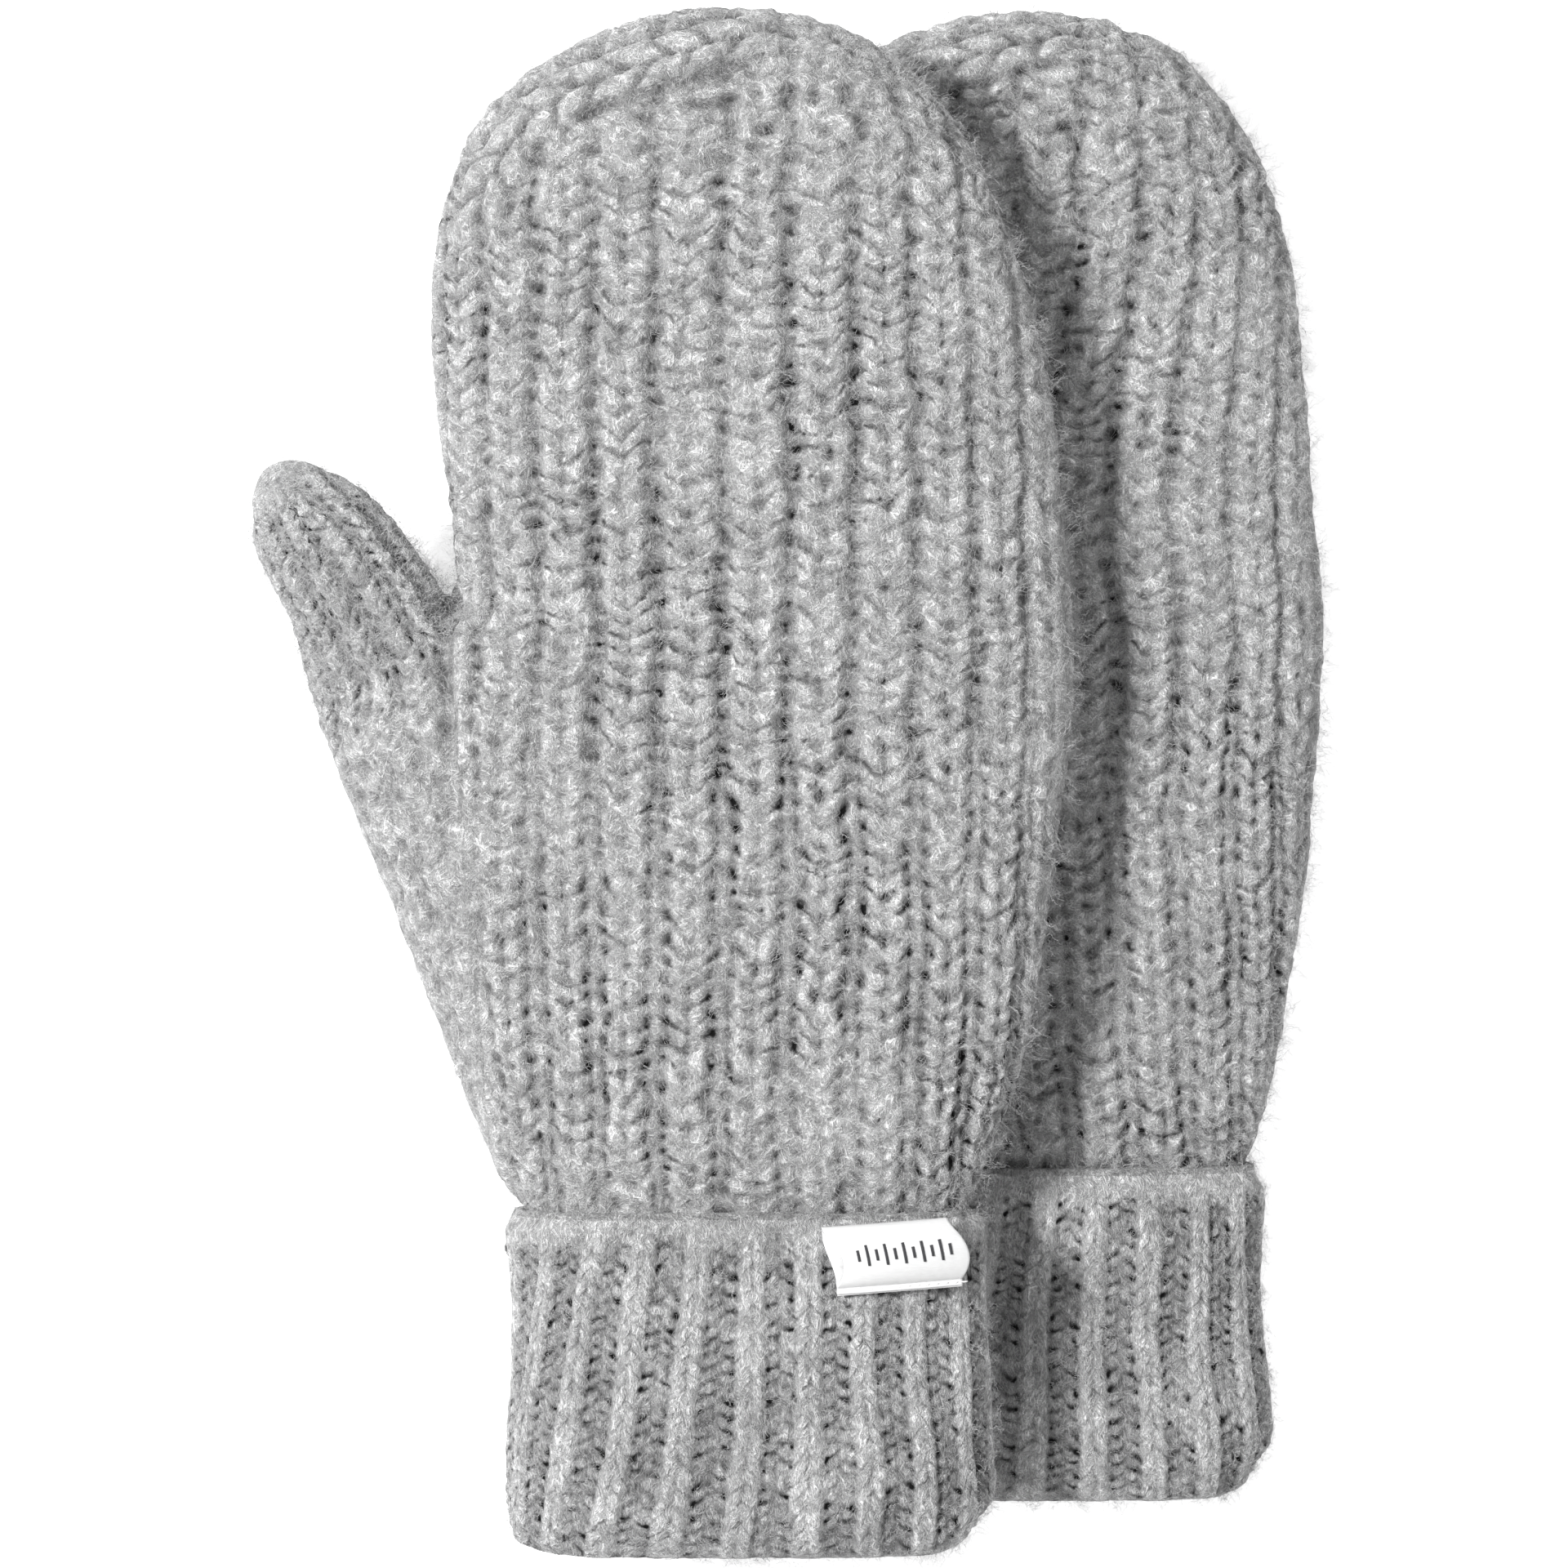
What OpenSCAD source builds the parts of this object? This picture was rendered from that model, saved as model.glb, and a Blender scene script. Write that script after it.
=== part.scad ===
// A pair of thick knitted mittens with turned-up ribbed cuffs, lying one on the other.
// The left mitten is underneath with its palm up, and the right one is on top with its back up.
// X is across the hands, Y runs from the cuffs to the fingertips, and Z is up from the surface.

/* [Mitten] */
// Length from the folded edge of the cuff to the crown
mitten_len = 256; // [236:1:276]
// Width of the hand at its widest
hand_w = 104; // [94:1:114]
// Thickness of the hand as it lies, both layers together
hand_t = 25; // [22:0.5:28]
// Thickness of the brushed knit
knit_t = 3.4; // [2.6:0.1:3.8]
// Thickness of the fleece lining
lining_t = 2; // [1.4:0.1:2.2]

/* [Thumb] */
// Width of the thumb at its base
thumb_w = 26.4; // [25:0.2:28]
// Thickness of the thumb as it lies
thumb_t = 20; // [18:0.5:21]
// Length of the thumb beyond its hinge line
thumb_len = 38.6; // [34:0.2:42]
// Lean of the thumb away from the hand, in degrees
thumb_lean = 30; // [28:1:36]
// Gap between the thumb and the hand where the fabric bends
thumb_gap = 0.5; // [0.3:0.1:0.8]

/* [Cuff] */
// Width of the turned-up cuff
cuff_w = 80.6; // [74:0.2:86]
// Height of the turned-up cuff
cuff_h = 56.5; // [50:0.5:60]
// Thickness of the cuff as it lies, all four layers together
cuff_t = 25; // [24:0.5:27]

/* [Label] */
// Width of the folded woven label
label_w = 20.5; // [16:0.5:28]
// Height of the label as it is folded
label_h = 11.5; // [9:0.5:16]
// Thickness of the label's satin ribbon
ribbon_t = 0.4; // [0.3:0.05:0.6]
// Tilt of the label, in degrees
label_tilt = 4.5; // [0:0.5:6]

/* [Pair] */
// How far the lower mitten lies to the right of the upper one
pair_dx = 44.6; // [30:0.2:60]
// How far the lower mitten lies beyond the upper one
pair_dy = 4.9; // [0:0.1:10]
// Gap between the two mittens
pair_gap = 0.4; // [0.3:0.1:1]
// How far the crown of the lower mitten is bent to the right
crown_sway = 7.4; // [0:0.2:8]

/* [Hidden] */

wool = [0.70, 0.70, 0.71];
wool_deep = [0.58, 0.58, 0.60];
fleece = [0.80, 0.79, 0.78];
satin = [0.95, 0.95, 0.94];
thread = [0.88, 0.88, 0.87];

facets = 24;
lining_gap = 0.2;
wrist_y = cuff_h + 0.7;
hand_len = mitten_len - wrist_y;

// Hand stations from the wrist to the crown:
// [share of the hand's length, left edge and right edge as shares of its width, share of its thickness]
HAND = [
    [0.000, -0.354, 0.354, 0.66],
    [0.019, -0.376, 0.368, 0.88],
    [0.050, -0.398, 0.388, 1.00],
    [0.145, -0.430, 0.440, 1.00],
    [0.262, -0.458, 0.482, 1.00],
    [0.462, -0.466, 0.510, 1.00],
    [0.652, -0.480, 0.482, 1.00],
    [0.780, -0.495, 0.430, 1.00],
    [0.868, -0.462, 0.362, 0.96],
    [0.925, -0.395, 0.298, 0.88],
    [0.968, -0.270, 0.212, 0.72],
    [0.990, -0.140, 0.125, 0.50],
    [1.000, -0.062, 0.072, 0.28],
];

// The station where the lining's hem and the thumb gusset start
HEM = 2;

// Thumb stations from its hinge line to its tip:
// [share of its length, share of its width, share of its thickness]
THUMB = [
    [0.00, 1.00, 1.00],
    [0.34, 0.90, 1.00],
    [0.50, 0.87, 1.00],
    [0.64, 0.82, 0.97],
    [0.73, 0.74, 0.90],
    [0.81, 0.63, 0.80],
    [0.93, 0.40, 0.53],
    [1.00, 0.20, 0.26],
];

// Cuff stations from the fold to the free edge:
// [share of its height, left and right edge as shares of its width, share of its thickness]
CUFF = [
    [0.000, -0.452, 0.462, 0.74],
    [0.030, -0.478, 0.488, 0.90],
    [0.095, -0.497, 0.502, 0.98],
    [0.230, -0.499, 0.499, 1.00],
    [0.680, -0.481, 0.476, 0.96],
    [0.900, -0.500, 0.481, 1.00],
    [0.970, -0.496, 0.476, 0.98],
    [1.000, -0.482, 0.462, 0.90],
];

// How the lower mitten's bend runs along it: [share of its length, share of the crown's sway]
SWAY = [
    [0.24, 0.57],
    [0.30, 0.33],
    [0.38, 0.17],
    [0.46, 0.00],
    [0.64, 0.00],
    [0.76, 0.19],
    [0.84, 0.51],
    [0.94, 0.84],
    [1.00, 1.00],
];

// The hinge of the thumb, in the middle of its base
thumb_x = -0.577 * hand_w;
thumb_y = wrist_y + 0.452 * hand_len;
// The joint face is a cylinder about the hinge, a little wider than the thumb
joint_r = thumb_w / 2 + 1;
joint_h = hand_t + cuff_t;
// The gusset is a little thinner than the hand, and starts a little above the hem and inside the hand
gusset_share = 0.95;
gusset_tuck = 0.6;
gusset_y = wrist_y + HAND[HEM][0] * hand_len + 2;

cuff_corner_r = 0.34 * cuff_t;
cuff_gap = 0.5;
fold_h = 3.4;
inner_cuff_w = 0.92 * cuff_w;
inner_cuff_t = 0.648 * cuff_t;
yarn_r = 0.9;
stitch_t = 0.7;
// The middle of one mitten's width, thumb included, lies this far left of the hand's axis
mid_x = 0.1434 * hand_w;
// Half of one mitten's length with its crown gather
mid_y = mitten_len / 2 + yarn_r;

// How far the form is bent sideways at y. The upper mitten lies straight.
function sway(y) = $bent ? crown_sway * lookup(y / mitten_len, SWAY) : 0;

// The corners of a flat section from x0 to x1 with thickness t and radius r, each with its start angle.
// A section whose radius is half its thickness has a half-round side in place of two corners.
function corners(x0, x1, t, r) =
    r < t / 2
        ? [[x1 - r, r - t / 2, -90], [x1 - r, t / 2 - r, 0], [x0 + r, t / 2 - r, 90], [x0 + r, r - t / 2, 180]]
        : [[x1 - r, 0, -90], [x0 + r, 0, 90]];

// The points round a flat section at y
function ring(y, x0, x1, t, r) =
    let (c = corners(x0, x1, t, r), turn = 360 / len(c), steps = facets / len(c))
    [
        for (k = c, i = [0 : steps])
            let (a = k[2] + turn * i / steps)
            [k[0] + r * cos(a), y, k[1] + r * sin(a)],
    ];

// The same points, moved sideways by the bend
function bent_ring(y, x0, x1, t, r) = ring(y, x0 + sway(y), x1 + sway(y), t, r);

// Points turned about Z by the thumb's lean and moved to its hinge
function at_thumb(points) = [
    for (p = points) [
        thumb_x + p[0] * cos(thumb_lean) - p[1] * sin(thumb_lean),
        thumb_y + p[0] * sin(thumb_lean) + p[1] * cos(thumb_lean),
        p[2],
    ]
];

// The ring of the hand at station s, drawn in by inset on every side
function hand_ring(s, inset) =
    let (t = s[3] * hand_t - 2 * inset)
    bent_ring(wrist_y + s[0] * (hand_len - inset), s[1] * hand_w + inset, s[2] * hand_w - inset, t, t / 2);

// The ring of the thumb at station s, drawn in by inset
function thumb_ring(s, inset) =
    let (t = s[2] * thumb_t - 2 * inset, half = max(s[1] * thumb_w, s[2] * thumb_t) / 2 - inset)
    at_thumb(ring(s[0] * (thumb_len - inset), -half, half, t, t / 2));

// A closed form through rings that have the same number of points
module loft(rings) {
    n = len(rings[0]);
    last = len(rings) - 1;
    polyhedron(
        points = [for (r = rings) each r],
        faces = [
            [for (j = [n - 1 : -1 : 0]) j],
            [for (j = [0 : n - 1]) last * n + j],
            for (i = [0 : last - 1], j = [0 : n - 1])
                let (a = i * n + j, b = i * n + (j + 1) % n)
                each [[a, b, b + n], [a, b + n, a + n]],
        ]
    );
}

// The hand as one closed form from the station numbered first, drawn in by inset.
// It reaches below that station by below, so that it can cut an open end.
module hand_form(inset, first, below = 0) {
    stations = [for (i = [first : len(HAND) - 1]) if (HAND[i][3] * hand_t > 2 * inset + 4) HAND[i]];
    rings = [for (s = stations) hand_ring(s, inset)];
    foot = [for (p = rings[0]) p - [0, below, 0]];
    loft(below > 0 ? [foot, each rings] : rings);
    gusset_form(inset);
}

// The gusset runs from the left half of the wrist to the base of the thumb, and ends at the joint face
module gusset_form(inset) {
    t = gusset_share * hand_t - 2 * inset;
    difference() {
        loft([
            bent_ring(gusset_y, HAND[HEM][1] * hand_w + inset + gusset_tuck, 0, t, t / 2),
            thumb_ring(THUMB[0], inset),
            thumb_ring([joint_r / (thumb_len - inset), THUMB[0][1], THUMB[0][2]], inset),
        ]);
        joint_cut(joint_r, false);
    }
}

// The thumb as one closed form, drawn in by inset
module thumb_form(inset) {
    stations = [for (s = THUMB) if (s[2] * thumb_t > 2 * inset + 3) s];
    loft([for (s = stations) thumb_ring(s, inset)]);
}

// What lies within radius r of the thumb's hinge, or past it on the side of the thumb
module joint_cut(r, inside) {
    translate([thumb_x, thumb_y, 0])
        if (inside)
            cylinder(r = r, h = joint_h, center = true, $fn = 64);
        else
            difference() {
                rotate([0, 0, thumb_lean])
                    translate([-joint_h / 2, 2, -joint_h / 2])
                        cube(joint_h);
                cylinder(r = r, h = 2 * joint_h, center = true, $fn = 64);
            }
}

// A layer of the hand between two insets, open at the station numbered first
module hand_layer(outer, inner, first) {
    resize([0, 0, hand_t - 2 * outer])
        difference() {
            hand_form(outer, first);
            hand_form(inner, first, 1);
        }
}

// A layer of the thumb between two insets, cut back from the joint face
module thumb_layer(outer, inner) {
    resize([0, 0, thumb_t - 2 * outer])
        difference() {
            thumb_form(outer);
            thumb_form(inner);
            joint_cut(joint_r + thumb_gap, true);
        }
}

// A flat oval ring that runs along Y from y0 to y1, with its outline w by t and its wall thickness wall
module oval_ring(w, t, wall, y0, y1) {
    translate([sway(y0), y1, 0])
        rotate([90, 0, 0])
            linear_extrude(height = y1 - y0)
                difference() {
                    oval(w, t);
                    oval(w - 2 * wall, t - 2 * wall);
                }
}

module oval(w, t) {
    square([w - t, t], center = true);
    for (side = [-1, 1])
        translate([side * (w - t) / 2, 0])
            circle(d = t, $fn = 48);
}

module hand_shell() {
    color(wool)
        hand_layer(0, knit_t, 0);
}

module lining_hand() {
    color(fleece)
        hand_layer(knit_t + lining_gap, knit_t + lining_gap + lining_t, HEM);
}

module thumb_shell() {
    color(wool)
        thumb_layer(0, knit_t);
}

module lining_thumb() {
    color(fleece)
        thumb_layer(knit_t + lining_gap, knit_t + lining_gap + lining_t);
}

// The part of the cuff that stays inside the turn-up
module inner_cuff() {
    color(wool_deep)
        oval_ring(inner_cuff_w, inner_cuff_t, knit_t, fold_h + cuff_gap, wrist_y - 0.05);
}

// The turned-up part of the cuff, with the fold at its lower edge
module turned_cuff() {
    rings = [
        for (s = CUFF)
            bent_ring(s[0] * cuff_h, s[1] * cuff_w, s[2] * cuff_w, s[3] * cuff_t, cuff_corner_r)
    ];
    color(wool_deep)
        resize([0, cuff_h, 0])
            difference() {
                loft(rings);
                cuff_hollow(inner_cuff_w + 2 * cuff_gap, inner_cuff_t + 2 * cuff_gap, fold_h);
                cuff_hollow(inner_cuff_w - 2 * knit_t, inner_cuff_t - 2 * knit_t, -1);
            }
}

// The space inside the turned-up cuff, from y0 upwards
module cuff_hollow(w, t, y0) {
    loft([for (y = [y0, cuff_h + 1]) bent_ring(y, -w / 2, w / 2, t, t / 2)]);
}

// A drawn-up loop of yarn that closes the last round of the hand
module crown_gather() {
    color(wool_deep)
        translate([0.005 * hand_w + sway(mitten_len), mitten_len + yarn_r, 0])
            rotate([90, 0, 0])
                yarn_loop();
}

// A drawn-up loop of yarn that closes the last round of the thumb
module thumb_gather() {
    color(wool_deep)
        translate([thumb_x, thumb_y, 0])
            rotate([0, 0, thumb_lean])
                translate([0, thumb_len + yarn_r, 0])
                    rotate([90, 0, 0])
                        yarn_loop();
}

module yarn_loop() {
    rotate_extrude($fn = 48)
        translate([1.4 * yarn_r, 0])
            circle(r = yarn_r, $fn = 24);
}

// The line of stitches that holds the lower edge of the lining
module lining_stitch() {
    inset = knit_t + lining_gap + lining_t + 0.1;
    x0 = HAND[HEM][1] * hand_w + inset;
    x1 = HAND[HEM][2] * hand_w - inset;
    y = wrist_y + HAND[HEM][0] * hand_len;
    color(thread)
        translate([(x0 + x1) / 2, 0, 0])
            oval_ring(x1 - x0, hand_t - 2 * inset, stitch_t, y, y + stitch_t);
}

// Where the label lies on the turned-up cuff
module at_label() {
    translate([0.282 * cuff_w, 0.998 * cuff_h, cuff_t / 2 + 0.1])
        rotate([0, 0, label_tilt])
            children();
}

// A woven label folded over along its upper edge, with both ends of the ribbon stitched down
module label() {
    fold_r = 2 * ribbon_t;
    color(satin)
        at_label()
            translate([-label_w / 2, 0, 0])
                rotate([90, 0, 90])
                    linear_extrude(height = label_w)
                        difference() {
                            label_profile(0, fold_r);
                            label_profile(ribbon_t, fold_r);
                        }
}

// The folded ribbon seen from its side: a round fold at the top and two flat plies below it
module label_profile(inset, r) {
    translate([-r, r])
        circle(r = r - inset, $fn = 32);
    translate([-label_h + inset, inset])
        square([label_h - r - inset, 2 * (r - inset)]);
}

// A row of stitches through the lower edge of the label
module label_stitch() {
    count = 8;
    step = label_w / count;
    color(thread)
        at_label()
            for (i = [0 : count - 1])
                translate([-label_w / 2 + (i + 0.2) * step, -label_h + 0.8, 4 * ribbon_t + 0.02])
                    cube([0.6 * step, 0.5, 0.3]);
}

module in_right_mitten() {
    $bent = false;
    translate([mid_x - pair_dx / 2, -mid_y - pair_dy / 2, 1.5 * cuff_t + pair_gap])
        children();
}

// The left mitten is the right one turned over, and it lies a little bent
module in_left_mitten() {
    $bent = true;
    translate([mid_x + pair_dx / 2, -mid_y + pair_dy / 2, cuff_t / 2])
        mirror([0, 0, 1])
            children();
}

in_left_mitten() hand_shell();  // left_hand_shell
in_left_mitten() lining_hand();  // left_lining_hand
in_left_mitten() thumb_shell();  // left_thumb_shell
in_left_mitten() lining_thumb();  // left_lining_thumb
in_left_mitten() inner_cuff();  // left_inner_cuff
in_left_mitten() turned_cuff();  // left_turned_cuff
in_left_mitten() crown_gather();  // left_crown_gather
in_left_mitten() thumb_gather();  // left_thumb_gather
in_left_mitten() lining_stitch();  // left_lining_stitch
in_right_mitten() hand_shell();  // right_hand_shell
in_right_mitten() lining_hand();  // right_lining_hand
in_right_mitten() thumb_shell();  // right_thumb_shell
in_right_mitten() lining_thumb();  // right_lining_thumb
in_right_mitten() inner_cuff();  // right_inner_cuff
in_right_mitten() turned_cuff();  // right_turned_cuff
in_right_mitten() crown_gather();  // right_crown_gather
in_right_mitten() thumb_gather();  // right_thumb_gather
in_right_mitten() lining_stitch();  // right_lining_stitch
in_right_mitten() label();  // right_label
in_right_mitten() label_stitch();  // right_label_stitch
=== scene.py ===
import math

import bmesh
import bpy
import numpy as np
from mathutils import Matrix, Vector


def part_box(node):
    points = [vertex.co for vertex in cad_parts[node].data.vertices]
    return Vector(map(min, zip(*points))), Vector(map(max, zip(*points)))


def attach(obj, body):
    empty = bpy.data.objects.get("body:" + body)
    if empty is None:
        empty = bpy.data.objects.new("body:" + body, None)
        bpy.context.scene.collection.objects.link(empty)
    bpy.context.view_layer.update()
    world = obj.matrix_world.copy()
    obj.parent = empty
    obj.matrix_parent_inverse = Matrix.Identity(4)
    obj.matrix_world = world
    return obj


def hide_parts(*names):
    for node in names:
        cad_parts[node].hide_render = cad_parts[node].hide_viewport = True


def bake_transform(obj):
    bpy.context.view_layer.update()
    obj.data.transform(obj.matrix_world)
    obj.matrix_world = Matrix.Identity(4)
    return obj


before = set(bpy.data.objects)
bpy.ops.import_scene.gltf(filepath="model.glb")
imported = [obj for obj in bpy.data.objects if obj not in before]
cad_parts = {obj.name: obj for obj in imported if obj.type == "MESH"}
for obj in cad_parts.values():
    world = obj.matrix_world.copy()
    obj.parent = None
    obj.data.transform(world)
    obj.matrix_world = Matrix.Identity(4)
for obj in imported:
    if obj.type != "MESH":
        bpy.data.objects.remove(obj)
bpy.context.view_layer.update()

MM = 0.001

# ---------------------------------------------------------------- camera
camera = bpy.data.objects.new("camera", bpy.data.cameras.new("camera"))
bpy.context.scene.collection.objects.link(camera)
camera.data.sensor_width = 36
camera.data.lens = 91.45
camera.data.clip_start = 0.01
camera.data.clip_end = 10
camera.location = (-0.0017, -0.0038, 0.7)
bpy.context.scene.camera = camera

# ---------------------------------------------------------------- sizes in mm, in one mitten's own frame
# The origin is in the middle of the wrist fold: +Y towards the tips, +Z towards the back of the hand.
KNIT_T = 3.4
LINING_GAP = 0.2
LINING_T = 2.0
LINING_HEM = 67
HAND_T = 25.0
HAND_LOW = 44
HAND_TIP = 255.8
WRIST_CUT = 51.0
CUFF_H = 56.5
INNER_W = 74.15
INNER_T = 16.2
INNER_TOP = 57.1
FOLD_H = 3.4
CUFF_HALF = 40.3
CUFF_SWAY = 4.218
THUMB_LEAN = math.radians(30)
THUMB_TIP = 37.6
# Knit: height of a stitch row, distance between wales, and how far the stitches rise across a wale
ROW = 3.6
PITCH = 10.6
SLOPE = 0.6
PURL_RISE = 0.9
THUMB_ROW = 3.1
THUMB_PITCH = 6.6
THUMB_GUTTER = 1.2
CUFF_ROW = 2.5
CUFF_PITCH = 9.6

# Outlines: [distance along the mitten, position or size there]
HAND_LEFT = [
    (44, -35), (54, -35.4), (58, -36.6), (64, -39.5), (72, -42), (86, -44.6), (109, -47.6), (135, -48.8),
    (158, -49), (175, -50.2), (190, -51.9), (202, -52.8), (212, -52.4), (223, -50.7), (229, -49),
    (234, -46.8), (239.6, -43.2), (245, -37.4), (250.4, -28), (253.2, -20), (254.8, -13.5), (255.5, -8.5),
    (255.8, -3),
]
HAND_RIGHT = [
    (44, 35), (54, 35.4), (58, 36.8), (65.5, 40.2), (79, 44.6), (93, 47.6), (109, 50.6), (129, 52.6),
    (149, 53.5), (163, 52.9), (187, 50.8), (210, 45.7), (229, 38.6), (240, 31.5), (249, 23), (253, 14.5),
    (254.8, 8.5), (255.5, 3), (255.8, -1),
]
HAND_THICK = [
    (44, 15.6), (54, 16), (58, 18), (63, 22), (70, 24.6), (90, 25), (236, 25), (243, 23.6), (248, 21),
    (252, 16.5), (254.5, 11.5), (255.8, 5),
]
GUSSET_EDGE = [
    (50, -34.8), (57, -37.4), (61, -41.2), (75, -46.9), (142.3, -73.4), (148, -75), (153, -75.9),
    (158, -77.2),
]
GUSSET_THICK = [(50, 14), (58, 17), (66, 21.5), (80, 23.4), (120, 22.6), (158, 20)]
THUMB_WIDTH = [
    (-20, 26), (0, 26.2), (13, 24.2), (19.3, 23.4), (24.2, 21.8), (27.6, 19.6), (30.5, 16.8), (33.5, 12.8),
    (36, 8.4), (37.6, 4),
]
THUMB_THICK = [(-20, 20), (20, 20), (24.5, 19), (28.3, 17), (32, 13), (35, 9), (37.6, 4)]
THUMB_SHIFT = [(-16, 0.3), (0, 0.9), (8, 1.9), (20, 1.7), (30, 0.5), (38, 0)]
CUFF_LEFT = [
    (0, -33), (0.8, -36.5), (2.5, -39), (5, -40.4), (9, -41), (14, -40.9), (29, -39.9), (40, -39.6),
    (46, -39.9), (51, -41), (54, -40.9), (56.5, -39.4),
]
CUFF_RIGHT = [
    (0, 31), (1, 34), (3.2, 36.6), (6, 38.8), (9, 40.8), (12, 41.4), (25, 40.4), (38, 39.4), (50, 39.4),
    (54, 39), (56.5, 37.6),
]
CUFF_THICK = [
    (0, 14), (0.8, 18), (2.4, 21.5), (6, 24.2), (13, 24.8), (40, 24.2), (50, 24.8), (55, 24.4), (56.5, 22.6),
]
# The lower mitten lies a little bent: how far its form moves sideways along its length
BEND = [
    (0, 4.8), (30, 3.6), (50, 4.6), (62, 4.2), (75, 2.6), (95, 1.4), (115, 0.4), (140, 0.2), (170, -0.5),
    (195, 1.4), (215, 3.8), (240, 6.2), (256, 7.4),
]
# The line of decreases along the crown, from the left edge to where the crown is drawn together
CHAIN = [(-46.5, 214), (-43, 226), (-36.5, 236), (-28.5, 241.2), (-13, 246.4), (-1, 250), (6, 252.4)]
CROWN_POINT = (5.7, 254)
# Small gaps between the strands of the crown, sunk and painted dark as shade: [x, y, half width, half
# height, depth]
HOLES = [
    (3, 234.3, 1.6, 1.1, 1.3), (-8.5, 238.6, 2.2, 0.8, 0.8), (-3.2, 239.6, 1.5, 0.7, 0.7),
    (4.4, 251.6, 2.2, 0.8, 0.9), (-17.5, 236.5, 1.6, 0.7, 0.6), (11, 240.5, 1.8, 0.7, 0.5),
    (-25, 231, 1.8, 0.8, 0.6),
]


def origin(side):
    """Where one mitten's own origin lies in the frame, in mm, and the sign of its Z."""
    low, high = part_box(side + "_turned_cuff")
    bent, up = (CUFF_SWAY, -1) if side == "left" else (0, 1)
    middle = (low.z + high.z) / 2 * 1000
    return np.array([low.x * 1000 + CUFF_HALF - bent, low.y * 1000, middle]), up


ORIGIN = {side: origin(side) for side in ("left", "right")}


def placed(points, side):
    """Points in one mitten's own frame, in mm, as points in the model's frame, in metres."""
    at, up = ORIGIN[side]
    moved = np.asarray(points, float) * [1, 1, up] + at
    if side == "left":
        moved[:, 0] += along(BEND, np.asarray(points)[:, 1])
    return moved * MM


# ---------------------------------------------------------------- helpers
def smooth(a, b, x):
    t = np.clip((np.asarray(x, float) - a) / (b - a), 0, 1)
    return t * t * (3 - 2 * t)


def hump(x, width):
    """1 at 0, falling smoothly to 0 a few widths away."""
    return np.exp(-(x / width) ** 2)


def signed_power(x, power):
    return np.sign(x) * np.abs(x) ** power


def angles(count):
    """Evenly spaced angles round a circle."""
    return np.linspace(0, 2 * math.pi, count, endpoint=False)


def along(stations, at):
    """The value at a place along an outline."""
    xs, ys = zip(*stations)
    return np.interp(at, xs, ys)


def noise(points, size, seed, waves=26):
    """Smooth noise of about unit spread, with features of that size."""
    rng = np.random.default_rng(seed)
    turn = rng.normal(size=(3, waves))
    turn *= (2 * math.pi / (size * rng.uniform(0.75, 1.5, waves))) / np.linalg.norm(turn, axis=0)
    phase = rng.uniform(0, 2 * math.pi, waves)
    return np.cos(points @ turn + phase).sum(1) * math.sqrt(2 / waves)


def section(y, x0, x1, thick, square, count=96):
    """Points round a flat section at y. A larger square gives a flatter top and tighter sides."""
    a = angles(count)
    x = (x0 + x1) / 2 + (x1 - x0) / 2 * signed_power(np.cos(a), 2 / square)
    return np.stack([x, np.full(count, y), thick / 2 * np.sin(a)], 1)


def ring_quads(count, n, closed=False):
    """Quads between rings of n points. A closed run joins its last ring to its first."""
    j = np.arange(n)
    k = (j + 1) % n
    quads = []
    for i in range(count if closed else count - 1):
        a, b = i * n, (i + 1) % count * n
        quads.append(np.stack([a + j, a + k, b + k, b + j], 1))
    return np.concatenate(quads)


def loft(rings):
    """Points and faces of a closed form through rings."""
    n, last = len(rings[0]), len(rings) - 1
    faces = [tuple(quad) for quad in ring_quads(len(rings), n)]
    faces.append(tuple(range(n)))
    faces.append(tuple(last * n + j for j in reversed(range(n))))
    return np.concatenate(rings), faces


def merged(parts):
    """Points and faces of several forms as one."""
    faces, base = [], 0
    for points, part_faces in parts:
        faces += [tuple(i + base for i in face) for face in part_faces]
        base += len(points)
    return np.concatenate([points for points, _ in parts]), faces


def new_object(name, points, faces):
    mesh = bpy.data.meshes.new(name)
    mesh.from_pydata([tuple(p) for p in points], [], [tuple(int(i) for i in f) for f in faces])
    mesh.update()
    obj = bpy.data.objects.new(name, mesh)
    bpy.context.scene.collection.objects.link(obj)
    return obj


def face_outwards(obj):
    bm = bmesh.new()
    bm.from_mesh(obj.data)
    bmesh.ops.recalc_face_normals(bm, faces=bm.faces)
    bm.to_mesh(obj.data)
    bm.free()


def remeshed(forms, voxel):
    """The union of closed forms as an even mesh: points and quads."""
    obj = new_object("scratch", *merged(forms))
    face_outwards(obj)
    mod = obj.modifiers.new("even", "REMESH")
    mod.mode = "VOXEL"
    mod.voxel_size = voxel
    mesh = obj.evaluated_get(bpy.context.evaluated_depsgraph_get()).to_mesh()
    co = np.zeros(len(mesh.vertices) * 3)
    mesh.vertices.foreach_get("co", co)
    quads = np.zeros(len(mesh.loops), int)
    mesh.loops.foreach_get("vertex_index", quads)
    bpy.data.objects.remove(obj)
    return co.reshape(-1, 3), quads.reshape(-1, 4)


def relax(points, quads, rounds, strength=0.5):
    """Each point moves towards the mean of its neighbours."""
    edges = np.concatenate([quads[:, [i, (i + 1) % 4]] for i in range(4)])
    edges = np.unique(np.sort(edges, 1), axis=0)
    a = np.concatenate([edges[:, 0], edges[:, 1]])
    b = np.concatenate([edges[:, 1], edges[:, 0]])
    count = np.maximum(np.bincount(a, minlength=len(points)), 1)
    out = points.copy()
    for _ in range(rounds):
        total = np.stack([np.bincount(a, out[b, k], len(points)) for k in range(out.shape[1])], 1)
        out += strength * (total / count[:, None] - out)
    return out


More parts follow.
